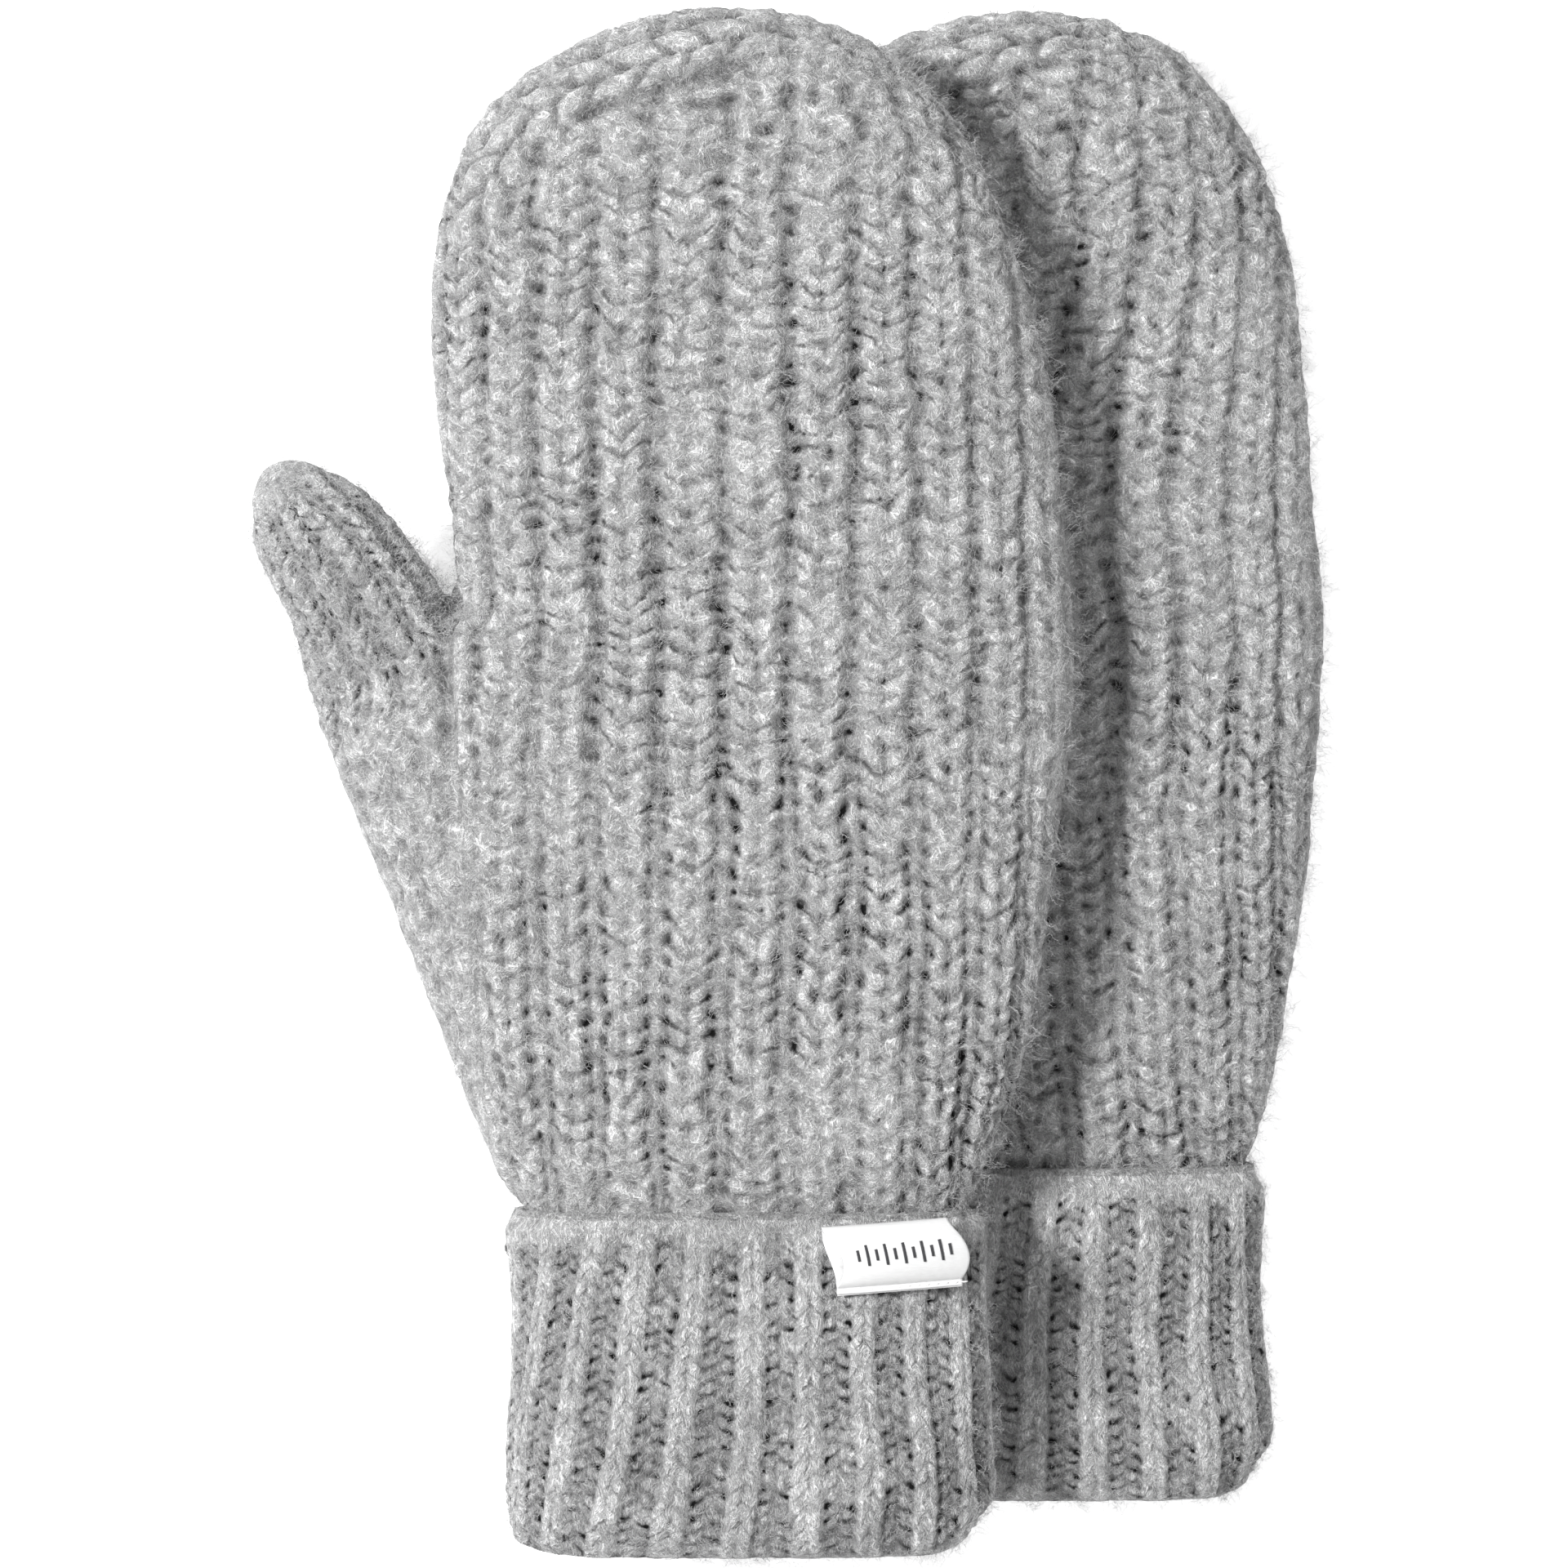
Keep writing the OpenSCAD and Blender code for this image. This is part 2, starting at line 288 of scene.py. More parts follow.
def normals_of(points, quads):
    """Vertex normals of a mesh of quads."""
    d1 = points[quads[:, 2]] - points[quads[:, 0]]
    d2 = points[quads[:, 3]] - points[quads[:, 1]]
    face = np.cross(d1, d2)
    out = np.stack([
        sum(np.bincount(quads[:, i], face[:, k], len(points)) for i in range(4)) for k in range(3)
    ], 1)
    return out / np.maximum(np.linalg.norm(out, axis=1), 1e-12)[:, None]


# ---------------------------------------------------------------- the mitten's base form
THINNEST = 1.5
HINGE = np.array([-60.0, 147.06])
AXIS = np.array([-math.sin(THUMB_LEAN), math.cos(THUMB_LEAN)])
ACROSS = np.array([math.cos(THUMB_LEAN), math.sin(THUMB_LEAN)])


def thumb_frame(points):
    """Distance across the thumb's axis and along it from the hinge."""
    d = points[:, :2] - HINGE
    return d @ ACROSS, d @ AXIS


def hand_forms(inset):
    """The hand, gusset and thumb as closed forms, drawn in by inset."""
    dome = 238
    cap = (HAND_TIP - dome - inset) * np.sin(np.linspace(0.08, math.pi / 2, 18))
    shrink = (HAND_TIP - inset - HAND_LOW) / (HAND_TIP - HAND_LOW)
    rings = []
    for y in np.concatenate([np.linspace(HAND_LOW, dome, 66), dome + cap]):
        full = HAND_LOW + (y - HAND_LOW) / shrink
        t = max(along(HAND_THICK, full) - 2 * inset, THINNEST)
        rings.append(section(y, along(HAND_LEFT, full) + inset, along(HAND_RIGHT, full) - inset, t, 4.6))
    hand = loft(rings)
    rings = []
    for y in np.linspace(50, 154, 34):
        t = along(GUSSET_THICK, y) - 2 * inset
        rings.append(section(y, along(GUSSET_EDGE, y) + inset * 1.08, -6 if inset == 0 else -12, t, 4.2))
    gusset = loft(rings)
    rings = []
    dome, taper = 30, 20
    cap = (THUMB_TIP - dome - inset) * np.sin(np.linspace(0.15, math.pi / 2, 12))
    stretch = (THUMB_TIP - taper) / (THUMB_TIP - taper - inset)
    for v in np.concatenate([np.linspace(-16, dome, 20), dome + cap]):
        full = v if v < taper else taper + (v - taper) * stretch
        w = max(along(THUMB_WIDTH, full) - 2 * inset, THINNEST)
        t = max(along(THUMB_THICK, full) - 2 * inset, THINNEST)
        ring = section(0, -w / 2, w / 2, t, 2.7, 64)
        place = HINGE + (ring[:, :1] + along(THUMB_SHIFT, v)) * ACROSS + v * AXIS
        rings.append(np.column_stack([place, ring[:, 2]]))
    thumb = loft(rings)
    return [hand, gusset, thumb]


def is_thumb(points):
    u, v = thumb_frame(points)
    return (v > 0) & (u < 13.6 + 0.25 * v) & (points[:, 0] < -44)


def near_path(points, path):
    """Distance from a line of points in the plane, signed across it, and the length along it."""
    best = np.full(len(points), 1e9)
    side = np.zeros(len(points))
    run = np.zeros(len(points))
    done = 0.0
    for a, b in zip(path[:-1], path[1:]):
        d = b - a
        length = np.hypot(*d)
        w = points[:, :2] - a
        t = np.clip(w @ d / length**2, 0, 1)
        off = w - t[:, None] * d
        dist = np.hypot(off[:, 0], off[:, 1])
        closer = dist < best
        best = np.where(closer, dist, best)
        side = np.where(closer, np.sign(w[:, 1] * d[0] - w[:, 0] * d[1]) * dist, side)
        run = np.where(closer, done + t * length, run)
        done += length
    return side, run


def rounded(phase):
    """0 along the middle of a stitch, 1 at its border, for a phase that counts stitches."""
    return np.abs(2 * (phase - np.floor(phase)) - 1)


def stitches(s, t, pitch, row, gutter, slope, seed, points):
    """Height in mm, at most 0, of a wide rib with wales along t: each is two columns of round lobes."""
    d = np.abs((s / pitch + 0.5) % 1 - 0.5) * pitch
    e = pitch / 2 - d
    rib = smooth(gutter * 0.55, gutter * 0.9 + 1.4, d)
    half = (pitch / 2 - 0.8 * gutter) / 2
    across = (e - half) / half
    lobe = rounded((t - slope * e) / row)
    bump = 1 - rounded((t + PURL_RISE) / row) ** 2
    vary = 1 + 0.3 * noise(points, 7, seed + 1)
    dome = np.sqrt(np.clip(1.1 - 0.42 * across**2 - 0.85 * lobe**3, 0.02, 1))
    h = -1.35 * (1 - rib)
    h += 0.8 * hump(d, 0.6 * gutter) * bump * vary * smooth(0.9, 1.6, gutter)
    h -= 1.9 * rib * (1 - dome) * np.clip(1 + 0.35 * noise(points, 5, seed + 2), 0.3, 1.7)
    h -= 0.2 * hump(e, 0.5) * rib
    h -= 0.6 * hump(d - 0.95 * gutter, 0.75) * (1 - bump) ** 1.5
    return h


def knit_field(points, seed):
    """Relief in mm of a mitten's outer side, with its wale, row, strength, gutter and shade."""
    x, y, z = points.T
    u, v = thumb_frame(points)
    wob = noise(points, 38, seed + 3)
    wob2 = noise(points, 26, seed + 4)
    fine = noise(points, 9, seed + 5)
    half_t = along(HAND_THICK, y) / 2
    fit = 1 - 0.075 * smooth(110, 56, y) * smooth(10, -40, x)
    s_hand = (x - 6.3) / fit + np.sign(x) * 0.75 * np.maximum(half_t - np.abs(z), 0)
    s_hand += 0.42 * wob + 0.12 * fine
    crown = smooth(228, 250, y)
    ragged = noise(points, 11, seed + 15)
    s_hand += (0.32 * ragged + 0.26 * noise(points, 5, seed + 19)) * (0.7 + 0.9 * smooth(200, 235, y))
    gutter = 0.85 + 0.95 * smooth(152, 108, y) - 0.15 * smooth(80, 62, y)
    gutter += 0.12 * noise(points, 26, seed + 16)
    t_hand = y + 0.8 * (HAND_T / 2 - np.abs(z)) * crown + 0.7 * wob2 + 0.3 * fine - 0.0009 * (x - 2) ** 2
    t_hand += 0.38 * noise(points, 9, seed + 17) + 0.24 * noise(points, 4.5, seed + 21)
    h_hand = stitches(s_hand, t_hand, PITCH, ROW, gutter, SLOPE, seed, points)
    # strength of the wales: soft at the right edge, in the crown and towards the gusset
    crease_x = -48.6 + 0.075 * np.maximum(150 - y, 0)
    strength = 1 - 0.5 * smooth(42, 51, x) - 0.3 * smooth(212, 244, y)
    strength *= 1 - 0.3 * smooth(12, 40, x) * smooth(105, 160, y)
    strength *= 1 - 0.2 * smooth(66, 58, y)
    strength *= 1 + 0.16 * noise(points, 30, seed + 6)
    # gusset and thumb
    below = np.minimum(v, 0)
    s_thumb = u - 0.145 * below + np.sign(u) * 0.7 * np.maximum(10.5 - np.abs(z), 0) * smooth(-8, 2, v)
    s_thumb += 0.35 * wob + 0.3 - 0.8 * along(THUMB_SHIFT, v) + (0.2 + 0.4 * smooth(4, -14, v)) * ragged
    t_thumb = v + 0.5 * wob2 + 0.3 * fine + 0.4 * noise(points, 10, seed + 18) * smooth(4, -14, v)
    h_thumb = stitches(s_thumb, t_thumb, THUMB_PITCH, THUMB_ROW, THUMB_GUTTER, 0.7, seed + 20, points)
    gusset = smooth(1.5, -2.5, x - crease_x) * smooth(157, 150, y)
    thumb = is_thumb(points) | ((x < -49.5) & (y < 175) & (v > -14))
    part = np.maximum(gusset, np.where(thumb, 1.0, 0.0))
    thumb_strength = 1.15 * smooth(37, 29, v) * smooth(-12, 2, v) + 0.42 * smooth(2, -12, v)
    # the ribs fade where the two systems meet
    join = hump(x - crease_x, 2.6) * (y < 152)
    blobs = 0.5 * noise(points, 5.2, seed + 8) + 0.4 * noise(points, 3.2, seed + 9)
    h = (1 - part) * strength * h_hand + part * thumb_strength * h_thumb
    lumps = 0.2 + 0.3 * part * smooth(4, -6, v) + 0.26 * smooth(205, 238, y) + 0.14 * smooth(40, 50, x)
    h += lumps * (blobs - 1)
    h *= 1 - 0.5 * join
    # soft crease beside the base of the thumb, also painted darker as shadow further down
    fold = hump(x - crease_x + 1.6, 1.7) * smooth(112, 148, y) * smooth(163, 157, y)
    h -= 2.2 * fold
    # chain of decreases on the crown
    side, length = near_path(points, np.array(CHAIN))
    shown = smooth(0, 12, length) * smooth(69, 62, length) * (z > 0)
    band = smooth(4.4, 2.8, np.abs(side)) * shown
    strands = rounded((length + 1.05 * np.abs(side) + 3.9 * (side > 0) + 0.5 * fine) / 7.8) ** 4
    middle = hump(side, 0.55)
    h = h * (1 - 0.9 * band) + band * (0.5 - 1.3 * strands - 0.8 * middle)
    beside = hump(np.abs(side) - 4.6, 0.9) * shown * np.clip(0.7 + 0.5 * ragged, 0, 1.3)
    h -= 0.8 * beside
    # painted shade in the chain's creases between strands, along its middle and in the grooves beside it
    chain_painted_shade = band * (0.4 * strands + 0.24 * middle) + 0.26 * beside
    # wales drawn together at the crown, and the small gaps there
    gx, gy = CROWN_POINT
    r = np.hypot(x - gx, (y - gy) * 0.8)
    angle = np.arctan2(x - gx, gy - y)
    h -= 0.5 * smooth(17, 5, r) * (0.5 + 0.5 * np.cos(angle * 13 + 0.5 * fine))
    hole = sum(deep * np.exp(-(((x - hx) / wide) ** 2 + ((y - hy) / tall) ** 2)) * (z > 0)
               for hx, hy, wide, tall, deep in HOLES)
    h -= 2.0 * hole
    # painted shade in the gusset's dips, where the blobs sink
    gusset_dip_shade = 0.14 * part * smooth(0.15, 1.2, -blobs) * smooth(6, -6, v)
    # painted shade: the chain, the crown's gaps, the crease by the thumb and the gusset's dips darken the
    # shade attribute
    dark = np.clip(1 - chain_painted_shade - 0.55 * hole - 0.2 * fold - gusset_dip_shade, 0.3, 1)
    mostly = part > 0.5
    values = {
        "wale": np.where(mostly, s_thumb / THUMB_PITCH * PITCH, s_hand),
        "course": np.where(mostly, t_thumb / THUMB_ROW * ROW, t_hand),
        "relief": np.where(mostly, thumb_strength, strength) * (1 - 0.8 * join) * (1 - 0.9 * band),
        "gutter": np.where(mostly, THUMB_GUTTER / THUMB_PITCH * PITCH, gutter),
        "shade": dark,
    }
    return np.minimum(h, 0.25), values


VOXEL = 0.8
BASE_POINTS, BASE_QUADS = remeshed(hand_forms(0), VOXEL)
BASE_POINTS = relax(BASE_POINTS, BASE_QUADS, int(round(7 * (0.8 / VOXEL) ** 2)) + 1)
INNER_POINTS, INNER_QUADS = remeshed(hand_forms(KNIT_T), 3.0)
INNER_POINTS = relax(INNER_POINTS, INNER_QUADS, 3)


# ---------------------------------------------------------------- materials
class Graph:
    """A short way to write node maths."""

    def __init__(self, name):
        self.mat = bpy.data.materials.new(name)
        self.mat.use_nodes = True
        self.tree = self.mat.node_tree
        self.tree.nodes.clear()
        self.out = self.tree.nodes.new("ShaderNodeOutputMaterial")

    def put(self, socket, value):
        if isinstance(value, bpy.types.NodeSocket):
            self.tree.links.new(value, socket)
        else:
            socket.default_value = value

    def node(self, kind, operation=None, **inputs):
        """A new node with those inputs. An underscore stands for a space in their names."""
        node = self.tree.nodes.new("ShaderNode" + kind)
        if operation:
            node.operation = operation
        for key, value in inputs.items():
            self.put(node.inputs[key.replace("_", " ")], value)
        return node

    def math(self, op, a, b=0.0, c=0.0, clamp=False):
        node = self.tree.nodes.new("ShaderNodeMath")
        node.operation = op
        node.use_clamp = clamp
        for socket, value in zip(node.inputs, (a, b, c)):
            self.put(socket, value)
        return node.outputs[0]

    def mul(self, a, b):
        return self.math("MULTIPLY", a, b)

    def add(self, a, b):
        return self.math("ADD", a, b)

    def less(self, a, b):
        return self.math("SUBTRACT", a, b)

    def over(self, a, b):
        return self.math("DIVIDE", a, b)

    def mul_add(self, a, b, c):
        return self.math("MULTIPLY_ADD", a, b, c)

    def vec(self, op, a, b=(0, 0, 0)):
        node = self.tree.nodes.new("ShaderNodeVectorMath")
        node.operation = op
        self.put(node.inputs[0], a)
        self.put(node.inputs[1], b)
        return node.outputs[0]

    def ramp(self, x, a, b, low=0.0, high=1.0):
        node = self.node("MapRange", Value=x, From_Min=a, From_Max=b, To_Min=low, To_Max=high)
        node.interpolation_type = "SMOOTHSTEP"
        return node.outputs[0]

    def attr(self, name):
        node = self.tree.nodes.new("ShaderNodeAttribute")
        node.attribute_name = name
        return node.outputs["Fac"]

    def place(self):
        node = self.tree.nodes.new("ShaderNodeTexCoord")
        return node.outputs["Object"]

    def turned(self, vector, angles, scale):
        rot = self.tree.nodes.new("ShaderNodeVectorRotate")
        rot.rotation_type = "EULER_XYZ"
        self.put(rot.inputs["Vector"], vector)
        self.put(rot.inputs["Rotation"], angles)
        return self.vec("MULTIPLY", rot.outputs[0], scale)

    def noise(self, vector, scale, detail=2.0, rough=0.5, distort=0.0):
        node = self.node("TexNoise", Vector=vector, Scale=scale, Detail=detail, Roughness=rough,
                         Distortion=distort)
        return node.outputs["Fac"]

    def color(self, factor, dark, light):
        node = self.tree.nodes.new("ShaderNodeMix")
        node.data_type = "RGBA"
        self.put(node.inputs["Factor"], factor)
        self.put(node.inputs[6], (*dark, 1))
        self.put(node.inputs[7], (*light, 1))
        return node.outputs[2]

    def scaled(self, color, factor):
        return self.node("VectorMath", "SCALE", Vector=color, Scale=factor).outputs[0]

    def bump(self, height, distance=MM):
        return self.node("Bump", Height=height, Distance=distance, Strength=1.0).outputs[0]

    def surface(self, color, normal=None, **values):
        node = self.node("BsdfPrincipled", Base_Color=color, **values)
        if normal is not None:
            self.put(node.inputs["Normal"], normal)
        self.put(self.out.inputs[0], node.outputs[0])
        return self.mat


# How three sets of fibres are turned: crossing one another, or mostly along the wales
CROSSED = ((0.25, 0.1, 0.35), (-0.2, 0.3, 1.35), (0.15, -0.35, 2.45))
UPRIGHT = ((0.2, 0.1, 1.57), (-0.2, 0.2, 1.2), (0.15, -0.3, 1.95))
# Dark and light grey, or near grey, of each material
WOOL_GREYS = (0.33, 0.33, 0.334), (0.93, 0.93, 0.932)
FUZZ_GREYS = (0.27, 0.27, 0.274), (0.68, 0.68, 0.682)
FLEECE_GREYS = (0.58, 0.575, 0.565), (0.72, 0.71, 0.70)
SATIN_GREYS = (0.6, 0.6, 0.605), (0.7, 0.7, 0.697)
THREAD_GREYS = (0.62, 0.62, 0.62), (0.82, 0.82, 0.81)
INK_GREYS = (0.02, 0.02, 0.022), (0.06, 0.06, 0.065)
YARN_GREYS = (0.34, 0.34, 0.345), (0.66, 0.66, 0.665)
FLOOR_GREYS = (0.93, 0.93, 0.93), (0.95, 0.95, 0.95)
# Wales are counted from this many pitches to one side, so that the count stays positive
FAR = 200


def fibres(g, at, along_size, across_size, warp, turns):
    """Crossing fibres: bright crests of three stretched noises that bend with a slow one."""
    slow = g.node("TexNoise", Vector=at, Scale=260.0, Detail=1.0)
    shift = g.scaled(g.vec("SUBTRACT", slow.outputs["Color"], (0.5, 0.5, 0.5)), warp * 2)
    bent = g.vec("ADD", at, shift)
    total = None
    scale = (1 / along_size, 1 / across_size, 1 / across_size)
    for turn in turns:
        crest = g.noise(g.turned(bent, turn, scale), 1.0, 1.5, 0.55)
        total = crest if total is None else g.math("MAXIMUM", total, crest)
    return g.ramp(total, 0.5, 0.7)


def border(g, phase):
    """0 along the middle of a stitch, 1 at its border."""
    return g.math("ABSOLUTE", g.mul_add(g.math("FRACT", phase), 2.0, -1.0))


def bell(g, x, centre, width):
    off = g.over(g.less(x, centre), width)
    return g.math("EXPONENT", g.mul(g.mul(off, off), -1.0))


def wool_base(g, turns):
    """What every wool shares: its place, how uneven its shadows are, and its fibre and tuft noises."""
    at = g.place()
    fibre = fibres(g, at, 0.0034, 0.00032, 0.0016, turns)
    fine = fibres(g, at, 0.0018, 0.00015, 0.001, CROSSED)
    tuft = g.noise(at, 620.0, 2.0, 0.6, 0.8)
    clump = g.noise(at, 230.0, 3.0, 0.62, 0.5)
    heather = g.noise(at, 62.0, 2.0, 0.5)
    ragged = g.ramp(g.noise(at, 330.0, 2.0, 0.6), 0.4, 0.6, 0.0, 1.3)
    return at, ragged, (fibre, fine, tuft, clump, heather)


def wool_surface(g, noises, dark, height, tone):
    """Heathered grey wool: dark is painted shade, how much each point is darkened by its place between the
    stitches.
    """
    fibre, fine, tuft, clump, heather = noises
    shade = g.math("SUBTRACT", 1.0, dark, clamp=True)
    for factor in (g.attr("shade"), g.ramp(tuft, 0.3, 0.7, 0.8, 1.12), g.ramp(clump, 0.34, 0.66, 0.84, 1.1),
                   g.ramp(heather, 0.34, 0.66, 0.93, 1.06), tone):
        shade = g.mul(shade, factor)
    strand = g.mul_add(fine, 0.4, g.mul(fibre, 0.6))
    color = g.scaled(g.color(strand, *WOOL_GREYS), shade)
    height = g.mul_add(strand, 0.34, height)
    height = g.mul_add(tuft, 0.45, height)
    return g.surface(color, g.bump(height), Roughness=0.95, Sheen_Weight=0.03, Sheen_Roughness=0.6,
                     Specular_IOR_Level=0.15)


def wool(name, tone):
    """Brushed wide-rib knit. Attributes give the wale and course coordinates in mm."""
    g = Graph(name)
    at, ragged, noises = wool_base(g, CROSSED)
    s, t, strength, gutter = g.attr("wale"), g.attr("course"), g.attr("relief"), g.attr("gutter")
    t = g.mul_add(g.noise(at, 430.0, 2.0), 1.5, t)
    s = g.mul_add(g.noise(at, 480.0, 2.0), 1.1, g.less(s, 0.55))
    d = g.math("PINGPONG", g.add(s, PITCH * FAR), PITCH / 2)
    e = g.less(PITCH / 2, d)
    wide = g.over(d, gutter)
    rib = g.ramp(g.less(d, g.mul(gutter, 0.7)), 0.0, 1.3)
    lobe = border(g, g.over(g.mul_add(e, -SLOPE, t), ROW))
    crease = g.mul(g.ramp(lobe, 0.5, 1.0), g.mul(rib, g.ramp(e, 0.6, 3.2, 0.5, 1.0)))
    line = g.mul(bell(g, e, 0.0, 0.45), rib)
    purl = border(g, g.over(g.add(t, PURL_RISE), ROW))
    across = bell(g, wide, g.ramp(gutter, 1.0, 1.6, 0.1, 0.9), g.ramp(gutter, 1.0, 1.6, 0.9, 0.4))
    dimple = g.mul(across, g.ramp(purl, 0.15, 0.95))
    low = g.less(1.0, rib)
    # painted shade between the stitches: the creases between lobes, the middle of each wale, the purl
    # dimples and the gutters
    dark = g.mul_add(crease, 0.56, g.mul(line, 0.14))
    dark = g.mul(dark, ragged)
    dark = g.mul_add(dimple, g.mul(g.add(ragged, 0.3), 0.56), dark)
    dark = g.mul_add(low, 0.17, dark)
    dark = g.mul(dark, strength)
    height = g.mul(g.mul_add(dimple, -0.5, g.mul(crease, -0.3)), strength)
    return wool_surface(g, noises, dark, height, tone)


def rib_wool(name, tone):
    """The cuff's rib: smooth wales, and gutters with two columns of small bumps."""
    g = Graph(name)
    at, ragged, noises = wool_base(g, UPRIGHT)
    s, t, strength = g.attr("wale"), g.attr("course"), g.attr("relief")
    t = g.mul_add(g.noise(at, 330.0, 2.0), 2.6, t)
    s = g.mul_add(g.noise(at, 400.0, 2.0), 1.8, g.less(s, 0.9))
    d = g.math("PINGPONG", g.add(s, CUFF_PITCH * FAR), CUFF_PITCH / 2)
    e = g.less(CUFF_PITCH / 2, d)
    turn = g.math("PINGPONG", g.add(s, CUFF_PITCH * FAR + CUFF_PITCH / 2), CUFF_PITCH)
    step = g.mul(g.math("GREATER_THAN", turn, CUFF_PITCH / 2), CUFF_ROW / 2)
    rib = g.ramp(d, 1.7, 2.7)
    purl = border(g, g.over(g.add(g.mul_add(d, 0.5, t), step), CUFF_ROW))
    gap = g.mul(bell(g, d, 1.1, 0.95), g.ramp(purl, 0.3, 1.0))
    edge = g.mul(bell(g, d, 2.1, 0.5), g.ramp(purl, 0.0, 0.9))
    middle = g.mul(bell(g, d, 0.0, 0.4), 0.45)
    vee = border(g, g.over(g.mul_add(e, 1.3, t), 1.25 * CUFF_ROW))
    crease = g.mul(g.ramp(vee, 0.6, 1.0), rib)
    line = g.mul(bell(g, e, 0.0, 0.32), rib)
    # painted shade: the creases of the vees, the middle of each rib, the gaps between the gutter's bumps and
    # the gutter's edges
    dark = g.mul_add(crease, 0.17, g.mul(line, 0.24))
    dark = g.mul_add(gap, 0.5, dark)
    dark = g.mul_add(edge, 0.52, g.add(dark, g.mul(middle, 0.26)))
    dark = g.mul(dark, g.add(ragged, 0.3))
    dark = g.mul_add(g.less(1.0, rib), 0.1, dark)
    dark = g.mul(dark, strength)
    bumps = g.mul_add(gap, -0.5, g.mul(edge, -0.4))
    height = g.mul(g.mul_add(crease, -0.25, bumps), strength)
    return wool_surface(g, noises, dark, height, tone)


def fleece_material():
    g = Graph("fleece")
    at = g.place()
    curl = g.noise(at, 900.0, 3.0, 0.65, 1.2)
    pile = g.noise(at, 260.0, 2.0, 0.5)
    shade = g.mul(g.ramp(curl, 0.3, 0.7, 0.72, 1.05), g.ramp(pile, 0.3, 0.7, 0.88, 1.04))
    color = g.scaled(g.color(curl, *FLEECE_GREYS), shade)
    return g.surface(color, g.bump(curl, 0.0006), Roughness=0.95, Sheen_Weight=0.3, Specular_IOR_Level=0.1)


def satin_material():
    g = Graph("satin_label")
    weave = g.node("TexWave", Vector=g.place(), Scale=2200.0, Distortion=1.0, Detail=1.0)
    weave.bands_direction = "X"
    grain = g.noise(g.turned(g.place(), (0, 0, 0.07), (700.0, 5200.0, 5200.0)), 1.0, 2.0)
    color = g.color(grain, *SATIN_GREYS)
    height = g.add(g.mul(weave.outputs["Fac"], 0.4), grain)
    return g.surface(color, g.bump(height, 0.00005), Roughness=0.42, Sheen_Weight=0.15,
                     Specular_IOR_Level=0.45, Anisotropic=0.4)


def thread_material(name, dark, light):
    g = Graph(name)
    twist = g.noise(g.turned(g.place(), (0.3, 0.2, 0.8), (9000.0, 1600.0, 4000.0)), 1.0, 2.0)
    return g.surface(g.color(twist, dark, light), g.bump(twist, 0.00008), Roughness=0.7, Sheen_Weight=0.2,
                     Specular_IOR_Level=0.25)


def fuzz_material():
    g = Graph("fuzz")
    info = g.tree.nodes.new("ShaderNodeHairInfo")
    color = g.color(info.outputs["Random"], *FUZZ_GREYS)
    return g.surface(color, Roughness=0.7, Specular_IOR_Level=0.2)


WOOL = wool("wool_knit", 1.0)
RIB = rib_wool("wool_rib", 1.05)
FLEECE = fleece_material()
SATIN = satin_material()
THREAD = thread_material("sewing_thread", *THREAD_GREYS)
INK = thread_material("label_thread", *INK_GREYS)
YARN = thread_material("wool_yarn", *YARN_GREYS)
FUZZ = fuzz_material()


# ---------------------------------------------------------------- pieces
def attribute(mesh, name, values):
    layer = mesh.attributes.new(name, "FLOAT", "POINT")
    layer.data.foreach_set("value", np.asarray(values, np.float32))


def finish_piece(obj, material, body, nodes=(), bend=None):
    obj.data.materials.append(material)
    obj.data.polygons.foreach_set("use_smooth", np.ones(len(obj.data.polygons), bool))
    if bend:
        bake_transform(obj)
    else:
        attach(obj, body)
    if nodes:
        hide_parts(*nodes)


def thumb_bend(side):
    """Which bodies lie either side of a thumb's hinge, and two points along its axis between them."""
    start, end = placed([[*(HINGE + reach * AXIS), 0] for reach in (1.2, 11)], side)
    return side + "_hand", side + "_thumb", start, end


def fuzz(obj, count, length, seed):
    """Loose fibres that stand off the wool. They lie close to the surface and cross at random."""
    obj.data.materials.append(FUZZ)
    system = obj.modifiers.new("fuzz", "PARTICLE_SYSTEM").particle_system
    system.seed = seed
    for key, value in {
        "type": "HAIR", "use_advanced_hair": True, "count": count, "hair_length": length, "hair_step": 5,
        "render_step": 3, "emit_from": "FACE", "use_modifier_stack": False, "use_emit_random": True,
        "distribution": "RAND", "normal_factor": 0.07 * length, "factor_random": 0.42 * length,
        "child_type": "SIMPLE", "rendered_child_count": 4, "child_radius": 0.0014, "child_roundness": 0.6,
        "roughness_1": 0.0008, "roughness_1_size": 0.0015, "roughness_2": 0.0009, "roughness_2_size": 0.0015,
        "roughness_endpoint": 0.0003, "child_length": 1.0, "root_radius": 1.0, "tip_radius": 0.4,
        "radius_scale": 0.000038, "material": len(obj.data.materials),
    }.items():
        setattr(system.settings, key, value)


def boundary_loops(bm):
    """The open loops of edges of a mesh."""
    left = {e for e in bm.edges if e.is_boundary}
    loops = []
    while left:
        loop = [left.pop()]
        grow = True
        while grow:
            grow = False
            for vert in loop[-1].verts:
                for edge in vert.link_edges:
                    if edge in left:
                        left.remove(edge)
                        loop.append(edge)
                        grow = True
                        break
                if grow:
                    break
        loops.append(loop)
    return loops


SHORTEST_LOOP = 12


